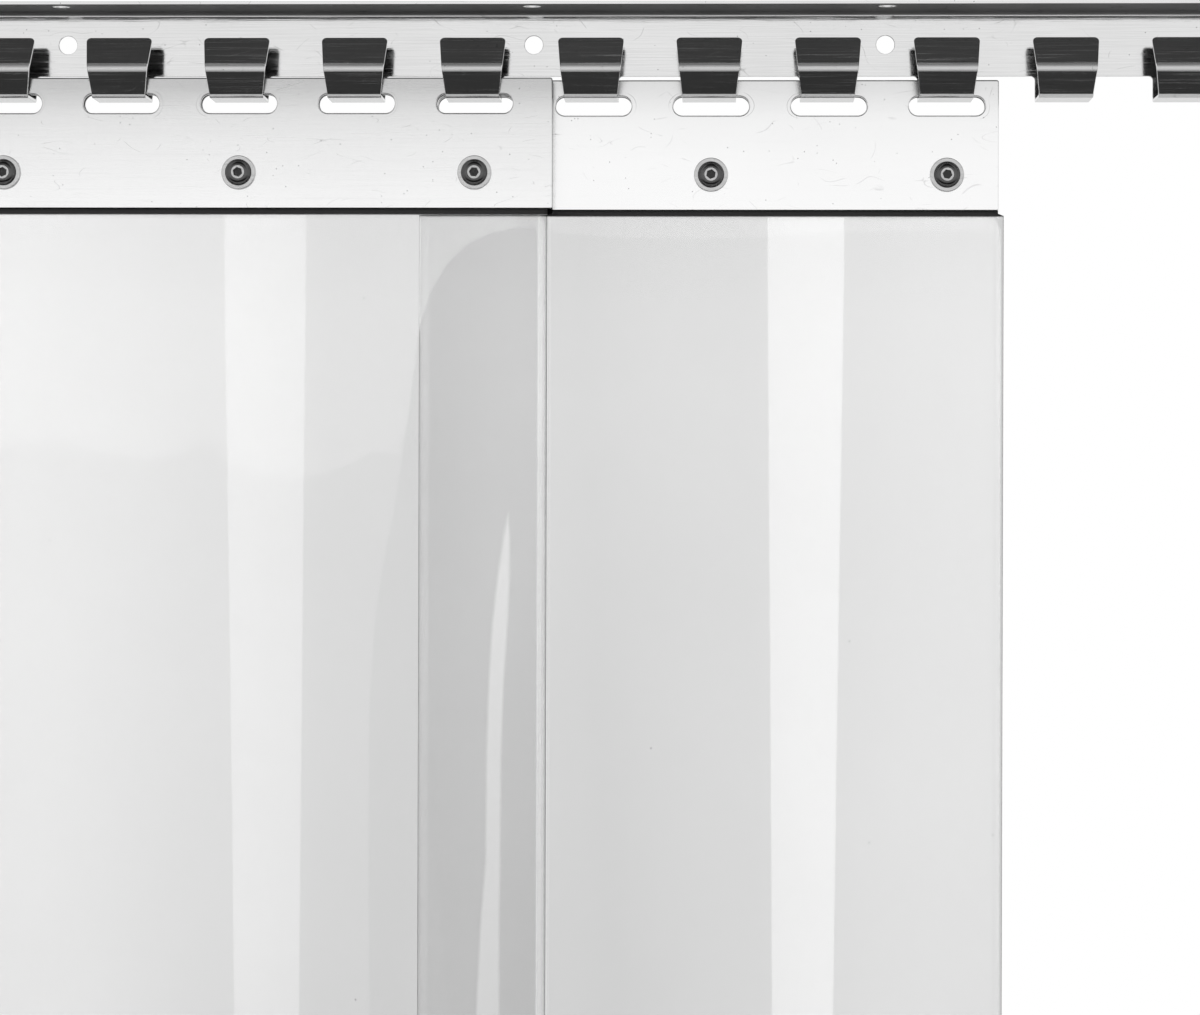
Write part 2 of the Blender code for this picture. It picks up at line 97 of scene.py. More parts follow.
class Tree:
    # a node tree, written as a chain of calls that mostly hand on the new node's first output
    def __init__(self, tree):
        self.tree = tree
        self.family = tree.bl_idname.replace("Tree", "")

    def node(self, kind, **values):
        # kind is a node type, without its family where that is the tree's own
        # values are node properties, or inputs by number or by name without spaces; a socket is linked
        node = self.tree.nodes.new(kind if "Node" in kind else self.family + kind)
        inputs = {}
        for key, value in values.items():
            if key in node.bl_rna.properties:
                setattr(node, key, value)
            else:
                inputs[key] = value
        sockets = {}
        for socket in node.inputs:
            if socket.enabled:
                sockets.setdefault(socket.name.replace(" ", ""), socket)
        for key, value in inputs.items():
            numbered = key.startswith("in") and key[2:].isdigit()
            socket = node.inputs[int(key[2:])] if numbered else sockets[key]
            for one in value if isinstance(value, list) else [value]:
                if isinstance(one, bpy.types.NodeSocket):
                    self.tree.links.new(one, socket)
                else:
                    socket.default_value = one
        return node

    def add(self, kind, **values):
        return self.node(kind, **values).outputs[0]

    def feed(self, node, name, source):
        self.tree.links.new(source, node.inputs[name])

    def calc(self, operation, *values, clamp=False):
        inputs = {f"in{i}": value for i, value in enumerate(values)}
        return self.add("ShaderNodeMath", operation=operation, use_clamp=clamp, **inputs)

    def times(self, a, b):
        return self.calc("MULTIPLY", a, b)

    def less(self, a, b, clamp=False):
        return self.calc("SUBTRACT", a, b, clamp=clamp)

    def absolute(self, value):
        return self.calc("ABSOLUTE", value)

    def ranged(self, value, given, wanted=(0.0, 1.0)):
        # carries a value from one range to another, and stops at its ends
        return self.add("ShaderNodeMapRange", in0=value, in1=given[0], in2=given[1], in3=wanted[0], in4=wanted[1])

    def ramp(self, value, stops):
        # a grey for each value, straight between (value, grey) stops
        node = self.node("ShaderNodeValToRGB", in0=value)
        node.color_ramp.interpolation = "LINEAR"
        elements = node.color_ramp.elements
        while len(elements) < len(stops):
            elements.new(0.5)
        for element, (at, shade) in zip(elements, stops):
            element.position = at
            element.color = flat(shade)
        return node.outputs[0]

    def cloudy(self, vector, scale, detail, rough=0.5):
        return self.add("ShaderNodeTexNoise", Vector=vector, Scale=scale, Detail=detail, Roughness=rough)

    def mixed(self, share, first, second):
        return self.node("ShaderNodeMix", data_type="RGBA", in0=share, in6=first, in7=second).outputs[2]

    def grey(self, value):
        return self.add("ShaderNodeCombineColor", Red=value, Green=value, Blue=value)

    def place(self):
        return self.node("ShaderNodeTexCoord").outputs["Object"]

    def split(self, vector):
        return self.node("ShaderNodeSeparateXYZ", Vector=vector).outputs

    def rays(self):
        return self.node("ShaderNodeLightPath").outputs

    def effect(self, group, **inputs):
        return self.node("ShaderNodeGroup", node_tree=group, **inputs).outputs

    def shader(self):
        return self.tree.nodes["Principled BSDF"]


class Group(Tree):
    # a node group with named inputs and outputs
    def __init__(self, name, kind="ShaderNodeTree"):
        super().__init__(bpy.data.node_groups.new(name, kind))
        self.start = self.node("NodeGroupInput")
        self.end = self.node("NodeGroupOutput")

    def socket(self, name, side, kind):
        return self.tree.interface.new_socket(name=name, in_out=side, socket_type="NodeSocket" + kind)

    def takes(self, kind, *names, **values):
        # makes inputs, some with values, and hands on their sockets in the same order
        for name in names:
            self.socket(name, "INPUT", kind)
        for name, value in values.items():
            self.socket(name, "INPUT", kind).default_value = value
        return [self.start.outputs[name] for name in (*names, *values)]

    def gives(self, name, source, kind="Float"):
        self.socket(name, "OUTPUT", kind)
        self.feed(self.end, name, source)

    def copies(self, shape, count, start, step, **more):
        # a shape again and again along a line
        line = self.add("MeshLine", mode="OFFSET", Count=count, StartLocation=start, Offset=step)
        placed = self.add("InstanceOnPoints", Points=line, Instance=shape, **more)
        return self.add("RealizeInstances", Geometry=placed)

    def givesWelded(self, whole, weld, finish):
        joined = self.add("MergeByDistance", Geometry=whole, Distance=weld)
        self.gives("Geometry", self.add("SetMaterial", Geometry=joined, Material=finish), "Geometry")


def flat(shade):
    return (shade, shade, shade, 1.0)


def discard(*made):
    for one in made:
        bpy.data.objects.remove(one, do_unlink=True)


def newMaterial(name, bare=False):
    made = bpy.data.materials.new(name)
    made.use_nodes = True
    if bare:
        made.node_tree.nodes.clear()
    return made, Tree(made.node_tree)


def evaluated(made):
    # the plain mesh of an object with its modifiers applied
    bpy.context.view_layer.update()
    return bpy.data.meshes.new_from_object(made.evaluated_get(bpy.context.evaluated_depsgraph_get()))


def grown(name, tree, **inputs):
    # runs a geometry tree once and keeps its result as a plain mesh
    seed = addObject(name + "Seed", bpy.data.meshes.new(name))
    modifier = seed.modifiers.new("tree", "NODES")
    modifier.node_group = tree
    for item in tree.interface.items_tree:
        if item.item_type == "SOCKET" and item.in_out == "INPUT" and item.name in inputs:
            modifier[item.identifier] = inputs[item.name]
    result = evaluated(seed)
    discard(seed)
    result.name = name
    return addObject(name, result)


def modified(made, kind, **values):
    # puts a modifier on and applies it
    modifier = made.modifiers.new(kind.lower(), kind)
    for key, value in values.items():
        setattr(modifier, key, value)
    mesh = evaluated(made)
    made.modifiers.clear()
    made.data = mesh


def crisp(made, degrees=30):
    # smooth shading that leaves the large flat faces flat
    made.data.shade_smooth()
    made.data.set_sharp_from_angle(angle=math.radians(degrees))
    modified(made, "WEIGHTED_NORMAL", keep_sharp=True, weight=90)


def chamfered(made, width, degrees=50):
    modified(
        made, "BEVEL", width=width, segments=1, limit_method="ANGLE", angle_limit=math.radians(degrees),
        use_clamp_overlap=False
    )


def cutBy(made, cutter):
    modified(made, "BOOLEAN", operation="DIFFERENCE", solver="EXACT", object=cutter)
    discard(cutter)


def opened(made):
    bank = bmesh.new()
    bank.from_mesh(made.data)
    return bank


def facedOut(bank):
    bmesh.ops.recalc_face_normals(bank, faces=bank.faces)


def stored(bank, made):
    facedOut(bank)
    bank.to_mesh(made.data)
    bank.free()


def asObject(bank, name):
    mesh = bpy.data.meshes.new(name)
    bank.to_mesh(mesh)
    bank.free()
    return addObject(name, mesh)


def pushed(bank, face, way):
    # thickens a face into a prism along a vector
    lifted = bmesh.ops.extrude_face_region(bank, geom=[face])
    verts = [v for v in lifted["geom"] if isinstance(v, bmesh.types.BMVert)]
    bmesh.ops.translate(bank, verts=verts, vec=way)


def cylinder(radius, depth, matrix, sides=48):
    bank = bmesh.new()
    bmesh.ops.create_cone(
        bank, cap_ends=True, segments=sides, radius1=radius, radius2=radius, depth=depth, matrix=matrix
    )
    return asObject(bank, "drill")


def arc(centre, radius, start, sweep, steps):
    turns = [start + sweep * i / steps for i in range(steps + 1)]
    return [(centre[0] + radius * math.cos(a), centre[1] + radius * math.sin(a)) for a in turns]


def dressed(made, finish):
    made.data.materials.clear()
    made.data.materials.append(finish)


def shaded(made, rule):
    # gives each face its share of painted shade, which the steel finishes read
    layer = made.data.attributes.new("patina", "FLOAT", "FACE")
    layer.data.foreach_set("value", [rule(face.center, face.normal) for face in made.data.polygons])


upright = Matrix.Rotation(math.pi / 2, 4, "X")  # stands a flat piece up, with its +Z to the front

grainLook = {"length": 9.0, "fineness": 2600.0, "cloudSize": 14.0}
marksLook = {
    "inputs": {"spacing": 60.0, "rarity": 0.6, "speckSpacing": 900.0, "speckRarity": 0.97},
    "runs": ((0.35, 3.1, 2.2), (-0.75, 7.7, 3.2), (1.35, 11.3, 1.6)),  # turn, slip and squeeze of each run
    "hairline": 0.007,
    "patchScale": 85.0,
    "patchEdge": 0.08,
    "speckEdge": (0.1, 0.24),
}
wearLook = {
    "inputs": {"pitch": 0.041, "shift": 0.0007, "slotLevel": -0.0221, "reach": 0.00995, "radius": 0.0046},
    "bend": 0.0022,
    "bendScale": 90.0,
    "line": (0.00004, 0.00022),
    "outward": (0.0008, 0.003),
    "patches": (0.46, 0.6),
    "patchScale": 38.0,
}


def makeGrainGroup(s):
    # streaks of rolled or brushed sheet, and slow clouds
    group = Group("rolledGrain")
    length, fine, cloudSize = group.takes("Float", **s)
    place = group.place()
    stretch = group.add("CombineXYZ", X=length, Y=fine, Z=fine)
    streaked = group.add("VectorMath", operation="MULTIPLY", in0=place, in1=stretch)
    group.gives("Streaks", group.cloudy(streaked, 1.0, 3.0, 0.6))
    group.gives("Clouds", group.cloudy(place, cloudSize, 4.0, 0.55))
    return group.tree


def makeMarksGroup(s):
    # sparse curved hairlines, and tiny dark specks
    group = Group("handlingMarks")
    size, rarity, speckSize, speckRarity = group.takes("Float", **s["inputs"])
    place = group.place()
    enough = group.calc("ADD", rarity, s["patchEdge"])
    scratches = None
    for turn, slip, squeeze in s["runs"]:
        turned = group.add(
            "Mapping", Vector=place, Location=(slip, slip, slip), Rotation=(0.0, turn, 0.0),
            Scale=(1.0, 1.0, squeeze)
        )
        off = group.absolute(group.less(group.cloudy(turned, size, 0.0), 0.5))
        line = group.ranged(off, (0.0, s["hairline"]), (1.0, 0.0))
        gate = group.ranged(group.cloudy(turned, s["patchScale"], 1.0), (rarity, enough))
        run = group.times(line, gate)
        scratches = run if scratches is None else group.calc("MAXIMUM", scratches, run)
    group.gives("Scratches", scratches)
    dots = group.node("TexVoronoi", feature="F1", Vector=place, Scale=speckSize).outputs
    chance = group.add("SeparateColor", Color=dots["Color"])
    chosen = group.calc("GREATER_THAN", chance, speckRarity)
    near = group.ranged(dots["Distance"], s["speckEdge"], (1.0, 0.0))
    group.gives("Specks", group.times(chosen, near))
    return group.tree


def makeWearGroup(s):
    # thin arcs that the hooks rub round both ends of each slot, on a row of slots at the hooks' pitch
    group = Group("hookWear")
    pitch, shift, slotLevel, reach, radius = group.takes("Float", **s["inputs"])
    place = group.place()
    split = group.split(place)
    cell = group.calc("FRACT", group.calc("DIVIDE", group.less(split["X"], shift), pitch))
    local = group.times(group.less(cell, 0.5), pitch)
    side = group.less(group.absolute(local), reach)
    rise = group.less(split["Z"], slotLevel)
    squares = group.calc("ADD", group.times(side, side), group.times(rise, rise))
    sway = group.less(group.cloudy(place, s["bendScale"], 2.0), 0.5)
    away = group.calc("ADD", group.calc("SQRT", squares), group.times(sway, s["bend"]))
    off = group.absolute(group.less(away, radius))
    ring = group.ranged(off, s["line"], (1.0, 0.0))
    outward = group.ranged(side, s["outward"])
    gate = group.ranged(group.cloudy(place, s["patchScale"], 1.0), s["patches"])
    group.gives("Arcs", group.times(group.times(ring, outward), gate))
    return group.tree


grainGroup = makeGrainGroup(grainLook)
marksGroup = makeMarksGroup(marksLook)
wearGroup = makeWearGroup(wearLook)

usedNoise = (0.3, 0.7)  # nearly all of a noise lies in this range

steelShared = {
    "specular": 0.1,
    "clouds": (0.95, 1.03),
    "scratchShade": 0.3,
    "scratchRough": 0.12,
    "scratchDepth": -0.5,
    "brushedLines": (0.54, 0.72),
    "dullRough": 0.6,
    "depth": 0.0002,
}
plateLook = {
    "rough": 0.15, "roughSpread": 0.1, "bump": 0.03, "marks": 0.55, "length": 22.0, "fine": 1900.0, "wear": 0.24,
    "dull": True,
}
turnedLook = {
    "brushed": 0.0, "bump": 0.02, "marks": 0.3, "length": 300.0, "fine": 1500.0, "wear": 0.0, "dull": False,
}
steelLooks = {
    "rail": {
        "light": 0.8, "dark": 0.7, "rough": 0.05, "roughSpread": 0.04, "brushed": 0.16, "bump": 0.05, "marks": 0.6,
        "length": 30.0, "fine": 2600.0, "wear": 0.0, "dull": True,
    },
    # fade: painted shade, darker towards the plate's top where it mirrors the hooks: height and share of light,
    # from the plate's foot to its top
    "plate": {
        **plateLook, "light": 0.97, "dark": 0.93, "brushed": 0.08,
        "fade": (
            (-0.0586, 1.0), (-0.0525, 0.98), (-0.0421, 0.93), (-0.0369, 0.91), (-0.0317, 0.875), (-0.0283, 0.845),
            (-0.0248, 0.8), (-0.0168, 0.62), (-0.0131, 0.58),
        ),
    },
    # painted light: a lighter copy of the plate finish for the right set, with less painted shade towards its top
    "brightPlate": {
        **plateLook, "light": 1.0, "dark": 0.98, "brushed": 0.05,
        "fade": (
            (-0.0586, 1.0), (-0.0421, 0.99), (-0.0283, 0.95), (-0.0248, 0.92), (-0.0168, 0.8), (-0.0131, 0.76),
        ),
    },
    "screw": {**turnedLook, "light": 0.78, "dark": 0.64, "rough": 0.12, "roughSpread": 0.08},
    "bush": {**turnedLook, "light": 0.66, "dark": 0.52, "rough": 0.3, "roughSpread": 0.1},
}


def makeSteel(name, look, s):
    finish, tree = newMaterial(name)
    shader = tree.shader()
    shader.inputs["Metallic"].default_value = 1.0
    shader.inputs["Specular IOR Level"].default_value = s["specular"]
    grain = tree.effect(grainGroup, length=look["length"], fineness=look["fine"])
    marks = tree.effect(marksGroup)
    # painted shade, read from each face, darkens the colour; on dull steels it also lowers Metallic and raises
    # roughness
    patina = tree.node("Attribute", attribute_type="GEOMETRY", attribute_name="patina").outputs["Fac"]
    tone = tree.ranged(grain["Streaks"], usedNoise, (look["dark"], look["light"]))
    tone = tree.times(tone, tree.ranged(grain["Clouds"], usedNoise, s["clouds"]))
    dirt = tree.times(marks["Specks"], look["marks"])
    dirt = tree.calc("MULTIPLY_ADD", marks["Scratches"], look["marks"] * s["scratchShade"], dirt)
    # painted shade: darker towards the plate's top
    if "fade" in look:
        foot, top = look["fade"][0][0], look["fade"][-1][0]
        rise = tree.ranged(tree.split(tree.place())["Z"], (foot, top))
        fade = tree.ramp(rise, [((z - foot) / (top - foot), share) for z, share in look["fade"]])
        tone = tree.times(tone, fade)
    if look["wear"]:
        dirt = tree.calc("MULTIPLY_ADD", tree.effect(wearGroup)["Arcs"], look["wear"], dirt)
    bare = tree.less(1.0, patina, clamp=True)
    tone = tree.times(tone, tree.less(1.0, dirt, clamp=True))
    tone = tree.times(tone, bare)
    tree.feed(shader, "Base Color", tree.grey(tone))
    rough = tree.ranged(grain["Clouds"], usedNoise, (look["rough"], look["rough"] + look["roughSpread"]))
    rough = tree.calc("MULTIPLY_ADD", marks["Scratches"], s["scratchRough"], rough)
    if look["brushed"]:
        line = tree.ranged(grain["Streaks"], s["brushedLines"], (0.0, look["brushed"]))
        rough = tree.calc("ADD", rough, line)
    if look["dull"]:
        rough = tree.calc("MULTIPLY_ADD", patina, s["dullRough"], rough)
        tree.feed(shader, "Metallic", bare)
    tree.feed(shader, "Roughness", rough)
    height = tree.calc("MULTIPLY_ADD", marks["Scratches"], s["scratchDepth"], grain["Streaks"])
    bump = tree.add("Bump", Strength=look["bump"], Distance=s["depth"], Height=height)
    tree.feed(shader, "Normal", bump)
    return finish


steel = {name: makeSteel(name + "Steel", look, steelShared) for name, look in steelLooks.items()}

pvcLook = {
    "tint": 0.6,
    "covered": 0.79,
    "coveredEdge": 0.001,
    "haze": 0.012,
    "hazeScale": 7.0,
    "specks": 0.45,
    "flow": 0.17,
    "flowEdge": 0.0011,
    "rough": 0.012,
    "scratchRough": 0.05,
    "pinchedRough": 0.7,
    "pinched": (-0.0607, -0.0603),
    "ior": 1.53,
    "shadow": 0.75,
    "marks": {"spacing": 24.0, "rarity": 0.66, "speckSpacing": 420.0, "speckRarity": 0.9992},
}
# painted light: margins that hang behind the next strip are painted clearer, so the overlap lets more light
# through: from, to along X
paintedLightMargins = {"left": (-0.2088, -0.1585), "middle": None, "right": (0.0423, 0.0875)}
# painted reflection: a faint lighter streak down the middle strip: X, Z and half width, from its start downwards
paintedStreakLines = {
    "middle": (
        (0.0742, -0.162, 0.0), (0.0736, -0.172, 0.0016), (0.0725, -0.187, 0.0026), (0.0713, -0.203, 0.0032),
        (0.0701, -0.223, 0.0031), (0.0693, -0.248, 0.003), (0.0691, -0.284, 0.003), (0.0682, -0.305, 0.0037),
        (0.0675, -0.333, 0.0044), (0.067, -0.6, 0.005), (0.066, -1.2, 0.0),
    ),
}


def followed(tree, along, points, column):
    # a value that runs through one column of the points, as the height falls
    low, high = points[-1][1], points[0][1]
    values = [point[column] for point in points]
    least, most = min(values), max(values)
    stops = [((high - point[1]) / (high - low), (point[column] - least) / (most - least)) for point in points]
    fall = tree.ranged(along, (high, low))
    return tree.ranged(tree.ramp(fall, stops), (0.0, 1.0), (least, most))


def makePvc(name, look, margin, flow):
    finish, tree = newMaterial(name)
    shader = tree.shader()
    shader.inputs["Transmission Weight"].default_value = 1.0
    shader.inputs["IOR"].default_value = look["ior"]
    marks = tree.effect(marksGroup, **look["marks"])
    place = tree.place()
    split = tree.split(place)
    tint, haze = look["tint"], look["haze"]
    tone = tree.ranged(tree.cloudy(place, look["hazeScale"], 3.0), usedNoise, (tint - haze, tint + haze))
    # painted light: the margin behind the next strip is clearer
    if margin:
        middle, half, edge = (margin[0] + margin[1]) / 2, (margin[1] - margin[0]) / 2, look["coveredEdge"]
        off = tree.absolute(tree.less(split["X"], middle))
        tone = tree.calc("ADD", tone, tree.ranged(off, (half - edge, half + edge), (look["covered"] - tint, 0.0)))
    # painted reflection: a lighter streak
    if flow:
        centre, half = followed(tree, split["Z"], flow, 0), followed(tree, split["Z"], flow, 2)
        off = tree.absolute(tree.less(split["X"], centre))
        inward = tree.less(half, off)
        tone = tree.calc("ADD", tone, tree.ranged(inward, (0.0, look["flowEdge"]), (0.0, look["flow"])))
    tone = tree.times(tone, tree.calc("MULTIPLY_ADD", marks["Specks"], -look["specks"], 1.0))
    # painted shade: the end pinched between the plates is painted dark and lets no light through, for the dark band
    # below the plates
    free = tree.ranged(split["Z"], look["pinched"], (1.0, 0.0))
    tree.feed(shader, "Base Color", tree.grey(tree.times(tone, free)))
    rough = tree.calc("MULTIPLY_ADD", marks["Scratches"], look["scratchRough"], look["rough"])
    pressed = tree.less(1.0, free)
    tree.feed(shader, "Roughness", tree.calc("MULTIPLY_ADD", pressed, look["pinchedRough"], rough))
    # light passes on to the floor instead of leaving a black shadow
    passed = tree.add("BsdfTransparent", Color=flat(look["shadow"]))
    whole = tree.add("MixShader", in0=tree.rays()["Is Shadow Ray"], in1=shader.outputs[0], in2=passed)
    tree.feed(tree.tree.nodes["Material Output"], "Surface", whole)
    return finish


pvc = {
    side: makePvc(f"clearStrip{side.capitalize()}", pvcLook, margin, paintedStreakLines.get(side))
    for side, margin in paintedLightMargins.items()
}
print("materials made")

railSizes = {
    "sheet": 0.0012, "pitch": 0.041, "hooks": 24, "edge": 0.00014, "weld": 0.00001,
    "webHeight": 0.0226, "flangeDepth": 0.021, "flangeBend": 0.0015,
    "holeHeight": 0.0111, "flangeHole": 0.0142, "holeRadius": 0.0032, "drill": 0.004,
    "holeGaps": (3, 7, 10, 14, 17, 21),  # a hole between each of these hooks and the next
    "troughTop": -0.008, "troughBend": 0.0012, "foot": 0.01665, "footWidth": 0.0187, "rootFillet": 0.0015,
    "crownHeight": 0.0009, "crownWidth": 0.0212, "crownBend": 0.0024, "crownFlare": 0.0038,
    "tipHeight": 0.0116, "tipWidth": 0.0227, "tipSetback": 0.0021, "tipCorner": 0.0016,
    "foldSteps": 9, "cornerSteps": 6,
    # painted shade under the flange, on the crowns and under the troughs
    "underPatina": 0.82, "underTilt": (0.02, 0.5), "troughPatina": 0.12, "troughTilt": 0.45,
    "crownPatina": 0.22, "crownReach": 0.0018, "sideTilt": 0.5,
}


def forward(depth):
    return -(railSizes["sheet"] + depth)


def level(height):
    return height - railSizes["holeHeight"]


def hookPlace(number):
    return (number - (railSizes["hooks"] + 1) / 2) * railSizes["pitch"]


def foldPath(s):
    # depth and height along the middle of the sheet, from the flange's edge to the hook's tip
    middle = s["sheet"] / 2
    corners = (  # depth, height and inner radius
        (forward(s["flangeDepth"]), level(s["webHeight"]) + middle, 0.0),
        (-middle, level(s["webHeight"]) + middle, s["flangeBend"]),
        (-middle, level(s["troughTop"]) - middle, s["troughBend"]),
        (forward(s["foot"]), level(s["troughTop"]) - middle, s["troughBend"]),
        (forward(s["foot"] + s["crownFlare"]), level(s["crownHeight"]), s["crownBend"]),
        (forward(s["foot"] - s["tipSetback"]), level(s["tipHeight"]), 0.0),
    )
    path = [Vector(corners[0][:2])]
    for before, here, after in zip(corners, corners[1:], corners[2:]):
        corner = Vector(here[:2])
        back = (Vector(before[:2]) - corner).normalized()
        ahead = (Vector(after[:2]) - corner).normalized()
        radius = here[2] + middle
        turn = math.pi - back.angle(ahead)
        start = corner + back * radius * math.tan(turn / 2)
        centre = corner + (back + ahead).normalized() * radius / math.cos(turn / 2)
        side = 1.0 if back.cross(ahead) < 0.0 else -1.0
        for i in range(s["foldSteps"] + 1):
            path.append(centre + Matrix.Rotation(side * turn * i / s["foldSteps"], 2) @ (start - centre))
    path.append(Vector(corners[-1][:2]))
    return path


def bayOutline(s, path, run):
    # one pitch of the rail with one hook, cut flat: across, and along the fold path
    bend = s["foldSteps"] + 1
    webEdge = run[bend] + path[bend][1] - level(0.0)
    footStart, crownStart = run[3 * bend], run[4 * bend]
    half, foot, crown, end = [s[key] / 2 for key in ("pitch", "footWidth", "crownWidth", "tipWidth")]
    root, tip, steps, quarter = s["rootFillet"], s["tipCorner"], s["cornerSteps"], math.pi / 2
    points = [(-half, 0.0), (-half, webEdge)]
    points += arc((-foot - root, webEdge + root), root, -quarter, quarter, steps)
    points += [(-foot, footStart), (-crown, crownStart)]
    points += arc((-end + tip, run[-1] - tip), tip, math.pi, -quarter, steps)
    points += arc((end - tip, run[-1] - tip), tip, quarter, -quarter, steps)
    points += [(crown, crownStart), (foot, footStart)]
    points += arc((foot + root, webEdge + root), root, math.pi, quarter, steps)
    return points + [(half, webEdge), (half, 0.0)]


def pathNormals(path):
    # one for each straight stretch, and one mitred between two stretches for each point
    straight = []
    for a, b in zip(path, path[1:]):
        ahead = (b - a).normalized()
        straight.append(Vector((-ahead[1], ahead[0])))
    mitred = [straight[0]]
    for a, b in zip(straight, straight[1:]):
        both = (a + b).normalized()
        mitred.append(both / both.dot(a))
    return straight, mitred + [straight[-1]]


def makeBay(s):
    # folds the flat bay along its path; its two sides stay open
    path = foldPath(s)
    run = [0.0]
    for a, b in zip(path, path[1:]):
        run.append(run[-1] + (b - a).length)
    sheet = bmesh.new()
    outline = [sheet.verts.new((x, y, -s["sheet"] / 2)) for x, y in bayOutline(s, path, run)]
    pushed(sheet, sheet.faces.new(outline), (0, 0, s["sheet"]))
    facedOut(sheet)
    for place in run[1:-1]:
        geom = sheet.verts[:] + sheet.edges[:] + sheet.faces[:]
        bmesh.ops.bisect_plane(sheet, geom=geom, dist=s["weld"] / 2, plane_co=(0, place, 0), plane_no=(0, 1, 0))
    side = s["pitch"] / 2 - s["weld"]
    ends = [f for f in sheet.faces if abs(sum(v.co.x for v in f.verts) / len(f.verts)) > side]
    bmesh.ops.delete(sheet, geom=ends, context="FACES")
    straight, mitred = pathNormals(path)
    for vert in sheet.verts:
        x, distance, offset = vert.co
        distance = min(max(distance, 0.0), run[-1])
        nearest = min(range(len(run)), key=lambda i: abs(run[i] - distance))
        if abs(run[nearest] - distance) < 2 * s["weld"]:
            folded = path[nearest] + mitred[nearest] * offset
        else:
            stretch = min(len(run) - 2, max(i for i, place in enumerate(run) if place <= distance + s["weld"]))
            share = (distance - run[stretch]) / (run[stretch + 1] - run[stretch])
            folded = path[stretch].lerp(path[stretch + 1], share) + straight[stretch] * offset
        vert.co = (x, folded[0], folded[1])
    return asObject(sheet, "bay")


def makeRowTree(name):
    # copies a piece along a line, each turned about its own Y by a fixed random angle
    row = Group(name, "GeometryNodeTree")
    piece, = row.takes("Object", "piece")
    count, seed = row.takes("Int", "count", "seed")
    start, step = row.takes("Vector", "start", "step")
    turn, weld = row.takes("Float", "turn", "weld")
    finish, = row.takes("Material", "finish")
    shape = row.node("ObjectInfo", Object=piece).outputs["Geometry"]
    spin = row.node("FunctionNodeRandomValue", data_type="FLOAT", Min=0.0, Max=turn, Seed=seed).outputs[1]
    angle = row.add("ShaderNodeCombineXYZ", Y=spin)
    row.givesWelded(row.copies(shape, count, start, step, Rotation=angle), weld, finish)
    return row.tree


rowTree = makeRowTree("pieceRow")


def makeRail(s):
    bay = makeBay(s)
    rail = grown(
        "rail", rowTree, piece=bay, count=s["hooks"], start=(hookPlace(1), 0.0, 0.0), step=(s["pitch"], 0.0, 0.0),
        weld=s["weld"], finish=steel["rail"]
    )
    discard(bay)
    closed = opened(rail)
    bmesh.ops.holes_fill(closed, edges=[e for e in closed.edges if e.is_boundary], sides=0)
    stored(closed, rail)
    for gap in s["holeGaps"]:
        x = (hookPlace(gap) + hookPlace(gap + 1)) / 2
        web = Matrix.Translation((x, -s["sheet"] / 2, 0)) @ upright
        flange = Matrix.Translation((x, forward(s["flangeHole"]), level(s["webHeight"]) + s["sheet"] / 2))
        for place in (web, flange):
            cutBy(rail, cylinder(s["holeRadius"], s["drill"], place))
    chamfered(rail, s["edge"])
    crisp(rail)
    dressed(rail, steel["rail"])
    foldLevel = level(s["webHeight"]) - s["flangeBend"]
    crownDepth = forward(s["foot"] + s["crownFlare"]) + s["crownReach"]

    def railShade(centre, normal):
        # painted shade, which also dulls the steel: under the flange and round its fold, on the crowns to dim their
        # highlight, and on the undersides of the troughs
        if centre.z > foldLevel:
            least, spread = s["underTilt"]
            under = min(1.0, max(0.0, -normal.z - least) / spread) if normal.y < s["sideTilt"] else 0.0
            return under * s["underPatina"]
        crownOff = abs(centre.z - level(s["crownHeight"]))
        if centre.y < crownDepth and crownOff < s["crownReach"] and abs(normal.x) < s["sideTilt"]:
            return s["crownPatina"]
        if centre.z < level(s["troughTop"]) and normal.z < -s["troughTilt"]:
            return s["troughPatina"]
        return 0.0

    shaded(rail, railShade)
    return rail


rail = makeRail(railSizes)
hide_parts("hook_rail")
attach(rail, "rail")
print("rail folded:", len(rail.data.polygons), "faces")

plateSizes = {
    "thick": 0.0015, "corner": 0.0008, "cornerSteps": 4,
    "edge": 0.0001, "shownEdge": 0.0005, "shownSteps": 3, "sharp": 1.0,
    "level": 1, "smooth": 60,  # degrees up to which faces are joined and edges are shaded round
    "slotWidth": 0.0265, "slotHeight": 0.0066, "slotRound": 0.4999, "slotSteps": 12, "bar": 0.0057,
    "holes": {"front": 0.0027, "back": 0.00365}, "holeSteps": 40,
    # painted shadow on the plates' lower edges and on the back plate's front
    "patina": 1.0, "patinaHeight": 0.001, "underTilt": 0.6, "frontTilt": 0.5,
}
sets = {
    "left": {"slots": 7, "screws": 4, "steel": "plate", "screwSeed": 11},
    "middle": {"slots": 7, "screws": 4, "steel": "plate", "screwSeed": 12},
    "right": {"slots": 5, "screws": 3, "steel": "brightPlate", "screwSeed": 13},
}


